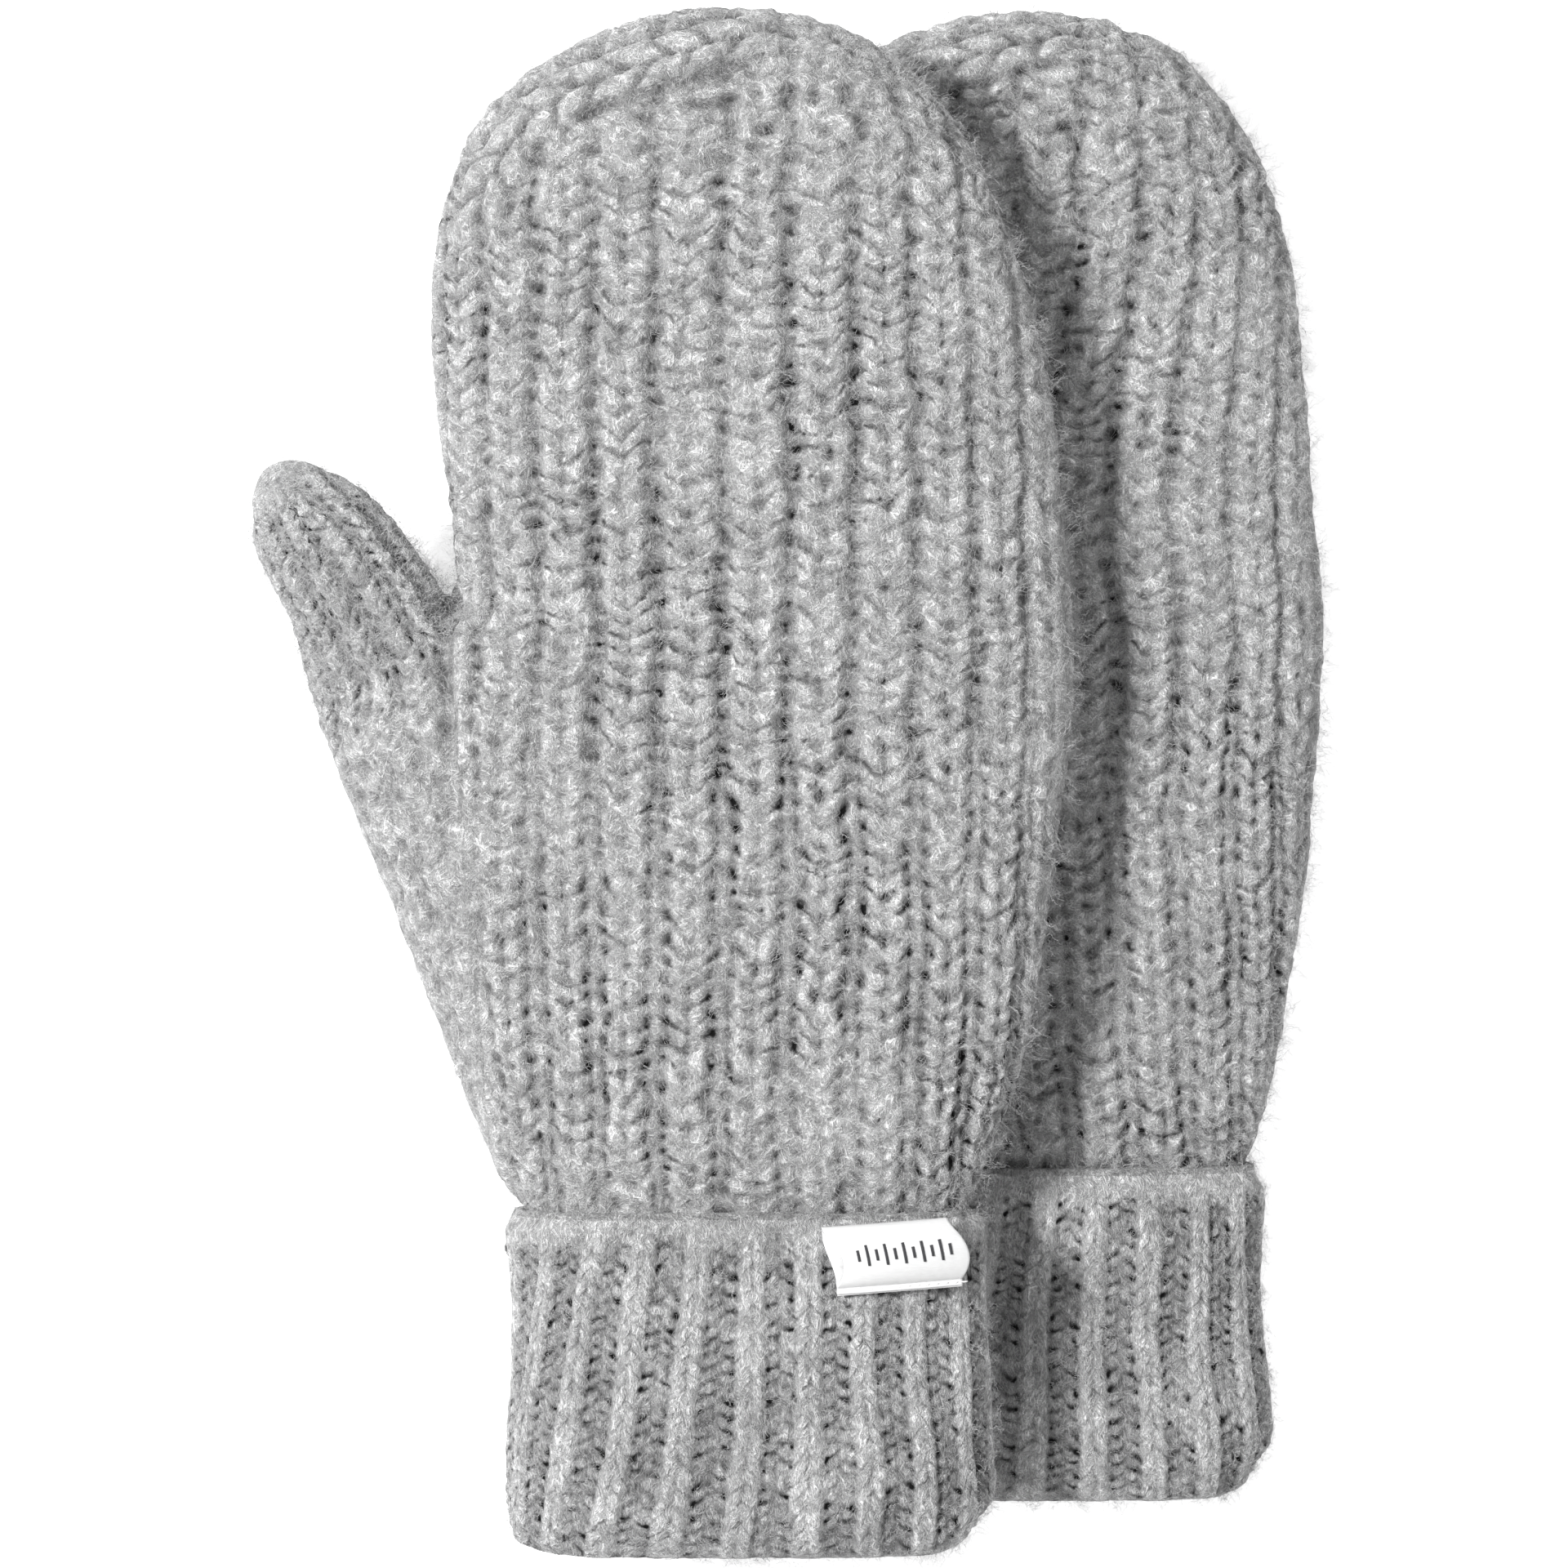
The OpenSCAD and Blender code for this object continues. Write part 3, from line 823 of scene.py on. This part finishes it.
def shell(name, outer, outer_quads, values, inner, inner_quads, normals, side):
    """A closed shell: a fine outer skin, a coarse inner skin, joined at their edges. Also its normals."""
    used = np.unique(outer_quads)
    remap = np.full(len(outer), -1)
    remap[used] = np.arange(len(used))
    inner_used = np.unique(inner_quads)
    inner_map = np.full(len(inner), -1)
    inner_map[inner_used] = np.arange(len(inner_used)) + len(used)
    quads = np.concatenate([remap[outer_quads], inner_map[inner_quads][:, ::-1]])
    points = np.concatenate([outer[used], inner[inner_used]])
    if side == "left":
        quads = quads[:, ::-1]
    obj = new_object(name, placed(points, side), quads)
    pad = np.zeros(len(inner_used))
    for key, value in values.items():
        attribute(obj.data, key, np.concatenate([value[used], pad + (1 if key == "shade" else 0)]))
    direction = np.concatenate([normals[used], np.zeros((len(inner_used), 3))]) * [1, 1, ORIGIN[side][1]]
    bm = bmesh.new()
    bm.from_mesh(obj.data)
    outer_loops, inner_loops = [], []
    for loop in sorted(boundary_loops(bm), key=len, reverse=True):
        if len(loop) > SHORTEST_LOOP:
            is_inner = max(v.index for v in loop[0].verts) >= len(used)
            centre = np.mean([v.co[:] for e in loop for v in e.verts], 0)
            (inner_loops if is_inner else outer_loops).append((loop, centre))
    for loop, centre in outer_loops:
        if inner_loops:
            nearest = min(inner_loops, key=lambda other: np.linalg.norm(other[1] - centre))
            bmesh.ops.bridge_loops(bm, edges=loop + nearest[0])
    bm.to_mesh(obj.data)
    bm.free()
    return obj, direction


def cut_hand(points, quads):
    """Quads of the hand and of the thumb, without what lies below the wrist."""
    centre = points[quads].mean(1)
    above = centre[:, 1] > WRIST_CUT
    thumb = is_thumb(centre)
    return quads[above & ~thumb], quads[above & thumb]


def make_hand(side, seed):
    normal = normals_of(BASE_POINTS, BASE_QUADS)
    if np.mean(np.sum(normal * (BASE_POINTS - BASE_POINTS.mean(0)), 1)) < 0:
        normal = -normal
    here = BASE_POINTS * [1, 1, ORIGIN[side][1]]
    h, values = knit_field(here, seed)
    # slow unevenness of a soft form
    slow = 0.5 + 0.3 * noise(here, 55, seed + 12)
    h = h * (0.42 + 0.58 * smooth(0.05, 0.65, np.abs(normal[:, 2])))
    points = BASE_POINTS + normal * (h + slow * smooth(58, 80, BASE_POINTS[:, 1]))[:, None]
    # painted shade in the hollows of the relief and painted light on its crests, stored in the shade
    # attribute
    around = relax(h[:, None], BASE_QUADS, 14)[:, 0]
    values["shade"] = np.clip(1 + 0.42 * (h - around), 0.6, 1.1) * values["shade"]
    if side == "left":  # deeper shadow where the cuff meets the hand
        values["shade"] = values["shade"] * (1 - 0.3 * hump(BASE_POINTS[:, 1] - 57.6, 1.6))
    new_normal = normals_of(points, BASE_QUADS)
    if np.mean(np.sum(new_normal * normal, 1)) < 0:
        new_normal = -new_normal
    body = side + "_hand"
    skins = zip(cut_hand(BASE_POINTS, BASE_QUADS), cut_hand(INNER_POINTS, INNER_QUADS))
    for (part, count, length, bend), (quads, inner) in zip(
            (("hand", 30000, 0.0023, None), ("thumb", 3400, 0.0021, thumb_bend(side))), skins):
        name = f"{side}_{part}_knit"
        skin, dirs = shell(name, points, quads, values, INNER_POINTS, inner, new_normal, side)
        finish_piece(skin, WOOL, body, [f"{side}_{part}_shell"], bend)
        skin.data.normals_split_custom_set_from_vertices([tuple(d) for d in dirs])
        fuzz(skin, count, length, seed + (part == "thumb"))


def cuff_point(y, turn):
    """A point on the outline of the turned-up cuff at height y."""
    x0, x1 = along(CUFF_LEFT, y), along(CUFF_RIGHT, y)
    x = (x0 + x1) / 2 + (x1 - x0) / 2 * signed_power(np.cos(turn), 2 / 4.4)
    return x, along(CUFF_THICK, y) / 2 * signed_power(np.sin(turn), 2 / 2.3)


def even_turns(count):
    """Turns round the cuff's outline, half-way up, that give even spacing."""
    turn = np.linspace(0, 2 * math.pi, 4001)
    x, z = cuff_point(28.0, turn)
    run = np.concatenate([[0], np.cumsum(np.hypot(np.diff(x), np.diff(z)))])
    return np.interp(np.linspace(0, run[-1], count, endpoint=False), run, turn)


def tube(name, rings, side):
    """A tube through rings of points, with its last ring joined to its first."""
    quads = ring_quads(len(rings), len(rings[0]), True)
    if side == "left":
        quads = quads[:, ::-1]
    return new_object(name, placed(np.concatenate(rings), side), quads)


def rib_field(s, t, points, seed, flat):
    """Height in mm of the cuff's rib: a smooth rib, then a wide gutter with two columns of small bumps."""
    d = np.abs((s / CUFF_PITCH + 0.5) % 1 - 0.5) * CUFF_PITCH
    e = CUFF_PITCH / 2 - d
    rib = smooth(1.9, 3.3, d)
    vary = 1 + 0.3 * noise(points, 5, seed)
    second = np.sign(((s / CUFF_PITCH + 0.5) % 1) - 0.5)
    bump = 1 - rounded((t + (second > 0) * CUFF_ROW / 2) / CUFF_ROW) ** 2
    vee = 0.5 + 0.5 * np.cos(2 * math.pi * (t + 0.9 * e) / (1.3 * CUFF_ROW))
    h = -1.45 * (1 - rib)
    h += 0.95 * hump(d - 1.15, 0.8) * bump * vary
    h -= 0.3 * hump(d - 2.35, 0.5) * (1 - bump)
    h -= 0.22 * rib * (1 - vee) * vary + 0.3 * hump(e, 0.42) * rib
    return h * (1 - flat) - 0.35 * flat


def hollow(turn, half_width, half_thick):
    """Points of a flat rounded outline: x and z."""
    return np.column_stack([half_width * signed_power(np.cos(turn), 0.5), half_thick * np.sin(turn)])


def make_cuff(side, seed):
    """The turned-up part: an outer skin with ribs, a round free edge, an inner skin and the fold."""
    count = 272
    turn = even_turns(count)
    step = 0.75
    rings, wale, course, relief, shade = [], [], [], [], []
    for y in np.arange(0.0, CUFF_H + 0.01, step):
        x, z = cuff_point(y, turn)
        s = x + np.sign(x) * 0.75 * np.maximum(along(CUFF_THICK, y) / 2 - np.abs(z), 0)
        lean = 0.16 * smooth(16, -34, x) - 0.03 * smooth(20, 36, x)
        s = (s - lean * (y - 40)) / (1 + 0.05 * (30 - y) / 30 * 0.6) + 4.7
        p = np.column_stack([x, np.full(count, y), z * ORIGIN[side][1]])
        s = s + 0.3 * noise(p, 22, seed + 2)
        t = y + 0.6 * noise(p, 20, seed + 3)
        flat = np.maximum(0.8 * smooth(50.5, 55, y + 0.9 * noise(p, 14, seed + 5)), 0.35 * smooth(4, 0, y))
        h = rib_field(s, t, p, seed, flat) + 0.25 * noise(p, 24, seed + 4) - 0.2
        h += 0.2 * noise(p, 4, seed + 6) * (0.4 + 0.6 * flat)
        h += 0.5 * smooth(49, 53, y)
        nx, nz = normals_2d(x, z)
        h = h * (0.45 + 0.55 * smooth(0.05, 0.6, np.abs(nz)))
        wavy = smooth(8, 0, y) * 0.5 * noise(p, 18, seed + 8) * smooth(0, 2, y)
        wavy += smooth(50, 56, y) * 0.5 * noise(p, 24, seed + 9) * smooth(57, 54.5, y)
        rings.append(np.column_stack([x + nx * h, y + wavy, z + nz * h]))
        wale.append(s)
        course.append(t)
        relief.append(1 - flat)
        # painted shade: darker where the rib's relief sinks, and darker along the top band that faces the
        # light
        shade.append(np.clip(1 + 0.3 * (h + 0.55), 0.62, 1.04) * (1 - 0.09 * smooth(51, 54, y)))
    # the free edge rolls in, the inner skin runs down to the fold, and the fold closes the ring
    top, low = rings[-1][:, [0, 2]], rings[0][:, [0, 2]]
    inside = hollow(turn, INNER_W / 2 + 0.6, INNER_T / 2 + 0.6)
    fold = hollow(turn, INNER_W / 2 - KNIT_T, INNER_T / 2 - KNIT_T)
    rest = [(CUFF_H + lift, top, inside, share)
            for share, lift in ((0.25, 0.55), (0.55, 0.7), (0.85, 0.35), (1.0, -0.6))]
    rest += [(y, inside, inside, 0) for y in np.linspace(CUFF_H - 4, FOLD_H + 1, 12)]
    rest += [(FOLD_H + 0.6, inside, fold, 0.3), (FOLD_H, inside, fold, 1.0)]
    rest += [(y, low, fold, share) for y, share in ((1.4, 1.0), (0.4, 0.8), (-0.05, 0.45))]
    for y, a, b, share in rest:
        x, z = (a * (1 - share) + b * share).T
        rings.append(np.column_stack([x, np.full(count, y), z]))
    for _ in rest:
        wale.append(wale[0])
        course.append(course[0])
        relief.append(np.full(count, 0.15))
        shade.append(np.full(count, 0.95))
    cuff = tube(side + "_cuff_turned", rings, side)
    for key, value in (("wale", wale), ("course", course), ("relief", relief), ("shade", shade)):
        attribute(cuff.data, key, np.concatenate(value))
    finish_piece(cuff, RIB, side + "_cuff", [side + "_turned_cuff"])
    fuzz(cuff, 8000, 0.0019, seed + 2)


def normals_2d(x, z):
    """Outward normals of a closed outline."""
    tx = np.roll(x, -1) - np.roll(x, 1)
    tz = np.roll(z, -1) - np.roll(z, 1)
    length = np.maximum(np.hypot(tx, tz), 1e-9)
    return tz / length, -tx / length


def make_inner_cuff(side):
    """The part of the cuff under the turn-up, the part that stretches on the real cuff when it is rolled
    down.
    """
    count = 220
    turn = angles(count)
    rings, wale, course = [], [], []
    ys = np.linspace(FOLD_H + 0.5, INNER_TOP, 50)
    run = np.arange(count) * (2 * (INNER_W - INNER_T) + math.pi * INNER_T) / count
    for out, levels in ((1, ys), (0, ys[::-1])):
        for y in levels:
            inset = 0 if out else KNIT_T
            x, z = hollow(turn, INNER_W / 2 - inset, INNER_T / 2 - inset).T
            d = np.abs((run / CUFF_PITCH * 1.02 + 0.5) % 1 - 0.5) * CUFF_PITCH
            relief = 0.5 * smooth(1.6, 3.2, d) + 0.12 * np.cos(2 * math.pi * y / CUFF_ROW)
            nx, nz = normals_2d(x, z)
            h = (relief - 0.55) if out else -(relief - 0.5) * 0.8
            rings.append(np.column_stack([x + nx * h, np.full(count, y), z + nz * h]))
            wale.append(run)
            course.append(np.full(count, y))
    inner = tube(side + "_cuff_inner", rings, side)
    attribute(inner.data, "wale", np.concatenate(wale))
    attribute(inner.data, "course", np.concatenate(course))
    attribute(inner.data, "relief", np.full(len(rings) * count, 0.5))
    attribute(inner.data, "shade", np.full(len(rings) * count, 0.95))
    bend = (side + "_hand", side + "_cuff", *placed([[0, 56, 0], [0, FOLD_H + 1, 0]], side))
    finish_piece(inner, RIB, None, [side + "_inner_cuff"], bend)


def make_linings(side):
    """Fleece linings of the hand and of the thumb."""
    cut = {"hand": [], "thumb": []}
    for inset in (KNIT_T + LINING_GAP, KNIT_T + LINING_GAP + LINING_T):
        points, quads = remeshed(hand_forms(inset), 2.6)
        points = relax(points, quads, 3)
        centre = points[quads].mean(1)
        thumb = is_thumb(centre)
        cut["hand"].append((points, quads[(centre[:, 1] > LINING_HEM) & ~thumb]))
        cut["thumb"].append((points, quads[thumb]))
    for part, bend in (("hand", None), ("thumb", thumb_bend(side))):
        outer, inner = cut[part]
        lining, _ = shell(f"{side}_lining_{part}_fleece", *outer, {}, *inner, np.zeros_like(outer[0]), side)
        finish_piece(lining, FLEECE, side + "_hand", [f"{side}_lining_{part}"], bend)


def swept(path, radius, closed, sides=8):
    """A round tube swept along points, in metres."""
    path = np.asarray(path, float)
    n = len(path)
    ahead = np.roll(path, -1, 0) - np.roll(path, 1, 0) if closed else np.gradient(path, axis=0)
    ahead /= np.linalg.norm(ahead, axis=1)[:, None]
    a = np.cross(ahead, [0.13, 0.31, 0.94])
    a /= np.linalg.norm(a, axis=1)[:, None]
    b = np.cross(ahead, a)
    turn = angles(sides)[None, :, None]
    points = path[:, None] + radius * (np.cos(turn) * a[:, None] + np.sin(turn) * b[:, None])
    faces = [tuple(quad) for quad in ring_quads(n, sides, closed)]
    if not closed:
        faces.append(tuple(reversed(range(sides))))
        faces.append(tuple((n - 1) * sides + j for j in range(sides)))
    return points.reshape(-1, 3), faces


def make_gather(side, part, centre, direction):
    """A drawn-up loop of two-ply yarn."""
    radius, apart, ply_radius = 1.0, 0.36, 0.52
    t = angles(90)
    across = np.array([direction[1], -direction[0], 0.0])
    up = np.array([0.0, 0.0, 1.0])
    axis = np.array([direction[0], direction[1], 0.0])
    plies = []
    for ply in (0, math.pi):
        twist = 7 * t + ply
        r = radius + apart * np.cos(twist)
        path = np.asarray(centre) + r[:, None] * (np.cos(t)[:, None] * across + np.sin(t)[:, None] * up)
        path = path + (apart * np.sin(twist))[:, None] * axis
        plies.append(swept(placed(path, side), ply_radius * MM, True))
    obj = new_object(f"{side}_{part}_gather_yarn", *merged(plies))
    body = side + ("_hand" if part == "crown" else "_thumb")
    finish_piece(obj, YARN, body, [f"{side}_{part}_gather"])


def make_lining_stitch(side):
    """Small slanted stitches round the hem of the lining."""
    low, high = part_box(side + "_lining_stitch")
    a, b = (high.x - low.x) / 2, (high.z - low.z) / 2
    cx, cz, y0, y1 = (high.x + low.x) / 2, (high.z + low.z) / 2, low.y, high.y
    count = 44
    parts = []
    for i in range(count):
        t0, t1 = 2 * math.pi * i / count, 2 * math.pi * (i + 0.62) / count
        ends = []
        for t, y in ((t0, y0), ((t0 + t1) / 2, (y0 + y1) / 2), (t1, y1)):
            ends.append((cx + a * signed_power(math.cos(t), 0.42), y, cz + b * math.sin(t)))
        parts.append(swept(ends, 0.3 * MM, False, 6))
    obj = new_object(side + "_lining_stitch_thread", *merged(parts))
    finish_piece(obj, THREAD, side + "_hand", [side + "_lining_stitch"])


# The folded ribbon from the side, as [height below the fold, height above the cuff], in mm
LABEL_PATH = [
    (-11.6, 0.4), (-10.6, 0.3), (-8.5, 0.25), (-6, 0.25), (-3, 0.35), (-1, 0.6), (-0.2, 1.3), (-0.3, 2.2),
    (-1.2, 2.9), (-3.0, 3.4), (-5.2, 3.45), (-7.4, 3.1), (-9.0, 2.4), (-9.9, 1.6), (-10.15, 0.95),
    (-10.4, 0.75), (-11.3, 1.05),
]
LABEL_W = 20.5
LABEL_T = 0.35
LABEL_TILT = math.radians(4.5)
LABEL_ROWS = 64
LABEL_COLS = 60


def label_profile():
    """The ribbon's middle line from the side, as even, softened steps."""
    path = np.array(LABEL_PATH)
    steps = np.linspace(0, len(path) - 1, LABEL_ROWS)
    out = np.stack([np.interp(steps, np.arange(len(path)), path[:, k]) for k in range(2)], 1)
    for _ in range(4):
        out[1:-1] = 0.25 * out[:-2] + 0.5 * out[1:-1] + 0.25 * out[2:]
    return out


def lie(x, y, z, up, level):
    """Where a point of the ribbon lies: its upper ply bulges and leans to the right below the fold."""
    f = x / (LABEL_W / 2)
    bow = 2.2 * np.sin(math.pi * np.clip(-np.asarray(level) / 10.2, 0, 1)) * up
    bow = bow + 1.7 * smooth(-1.5, -9.5, level)
    return x - 0.85 + bow, y, np.maximum(z * (1 + 0.06 * np.cos(f * 3) - 0.2 * f**4), 0.1)


def ribbon_faces():
    """Faces of two layers of points, column by column, closed round their edge."""
    cols, rows = LABEL_COLS, LABEL_ROWS
    other = cols * rows
    faces = []
    for off in (0, other):
        for i in range(cols - 1):
            for j in range(rows - 1):
                a, b = off + i * rows + j, off + (i + 1) * rows + j
                quad = (a, a + 1, b + 1, b)
                faces.append(quad if off else quad[::-1])
    rim = [i * rows for i in range(cols)] + [(cols - 1) * rows + j for j in range(1, rows)]
    rim += [i * rows + rows - 1 for i in reversed(range(cols - 1))] + list(reversed(range(1, rows - 1)))
    return faces + [(a, b, b + other, a + other) for a, b in zip(rim, rim[1:] + rim[:1])]


def make_label():
    """A ribbon folded over along its upper edge, both plies stitched down along the lower one."""
    low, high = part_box("right_label")
    at = np.array([(low.x + high.x) / 2 * 1000 - 0.35, high.y * 1000 - 0.8, low.z * 1000])
    c, s = math.cos(LABEL_TILT), math.sin(LABEL_TILT)
    prof = label_profile()
    d = np.gradient(prof, axis=0)
    n = np.stack([-d[:, 1], d[:, 0]], 1) / np.hypot(d[:, 0], d[:, 1])[:, None]
    upper = smooth(24, 36, np.arange(LABEL_ROWS))
    points = []
    for half in (LABEL_T / 2, -LABEL_T / 2):
        y, z = (prof + n * half).T
        for x in np.linspace(-LABEL_W / 2, LABEL_W / 2, LABEL_COLS):
            points.append(np.column_stack(np.broadcast_arrays(*lie(x, y, z, upper, y))))
    x, y, z = np.concatenate(points).T
    obj = new_object("right_label_ribbon", (np.column_stack([x * c - y * s, x * s + y * c, z]) + at) * MM,
                     ribbon_faces())
    face_outwards(obj)
    finish_piece(obj, SATIN, "right_cuff", ["right_label"])

    def on_label(x, y):
        """A point on the label's upper ply, in metres."""
        top = prof[::-1][:LABEL_ROWS // 2]
        z = np.interp(y, top[:, 0], top[:, 1]) + LABEL_T / 2
        px, py, pz = lie(x, y, z, 1.0, -5.0 + 0.4 * (y + 5.0))
        return (np.array([px * c - py * s, px * s + py * c, float(pz) + 0.06]) + at) * MM

    # a generic woven band of short bars in place of lettering
    parts = []
    for i in range(11):
        tall = 1.7 if i % 2 else 0.9
        path = [on_label(-7.5 + 1.5 * i, -5.0 + y) for y in np.linspace(-tall, tall, 6)]
        parts.append(swept(path, 0.24 * MM, False, 6))
    finish_piece(new_object("right_label_motif", *merged(parts)), INK, "right_cuff")
    parts = []
    for i in range(13):
        path = [on_label(-9.2 + 18.4 * i / 12 + dx, -10.8) for dx in (-0.5, -0.2, 0.2, 0.5)]
        path[0][2] -= 0.25 * MM
        path[-1][2] -= 0.25 * MM
        parts.append(swept(path, 0.13 * MM, False, 6))
    stitch = new_object("right_label_stitch_thread", *merged(parts))
    finish_piece(stitch, THREAD, "right_cuff", ["right_label_stitch"])


for side, seed in (("left", 40), ("right", 10)):
    make_hand(side, seed)
    make_cuff(side, seed)
    make_inner_cuff(side)
    make_linings(side)
    make_lining_stitch(side)
    make_gather(side, "crown", (0.5, HAND_TIP - 0.9, 0), (0.0, 1.0))
    make_gather(side, "thumb", (*(HINGE + (THUMB_TIP - 0.7) * AXIS), 0), AXIS)
make_label()

# ---------------------------------------------------------------- floor and light
bpy.ops.mesh.primitive_plane_add(size=3)
floor = bpy.context.object
floor.name = "floor"
g = Graph("floor")
tint = g.noise(g.place(), 4.0, 2.0)
g.surface(g.color(tint, *FLOOR_GREYS), Roughness=0.9, Specular_IOR_Level=0.1, Emission_Color=(1, 1, 1, 1),
          Emission_Strength=0.56)
floor.data.materials.append(g.mat)


def area_light(name, at, size, power):
    """A round lamp that points at the middle of the pair."""
    light = bpy.data.objects.new(name, bpy.data.lights.new(name, "AREA"))
    light.data.shape = "DISK"
    light.data.size = size
    light.data.energy = power
    light.location = at
    light.rotation_euler = (Vector((0, 0, 0.02)) - Vector(at)).to_track_quat("-Z", "Y").to_euler()
    bpy.context.scene.collection.objects.link(light)


area_light("key", (-0.65, 0.2, 0.94), 0.22, 19)
area_light("fill", (0.3, -0.6, 1.1), 0.9, 3)
world = bpy.data.worlds.new("studio")
world.use_nodes = True
sky = world.node_tree.nodes["Background"].inputs
sky["Color"].default_value = (1, 1, 1, 1)
sky["Strength"].default_value = 0.46
bpy.context.scene.world = world
bpy.context.scene.view_settings.view_transform = "Standard"
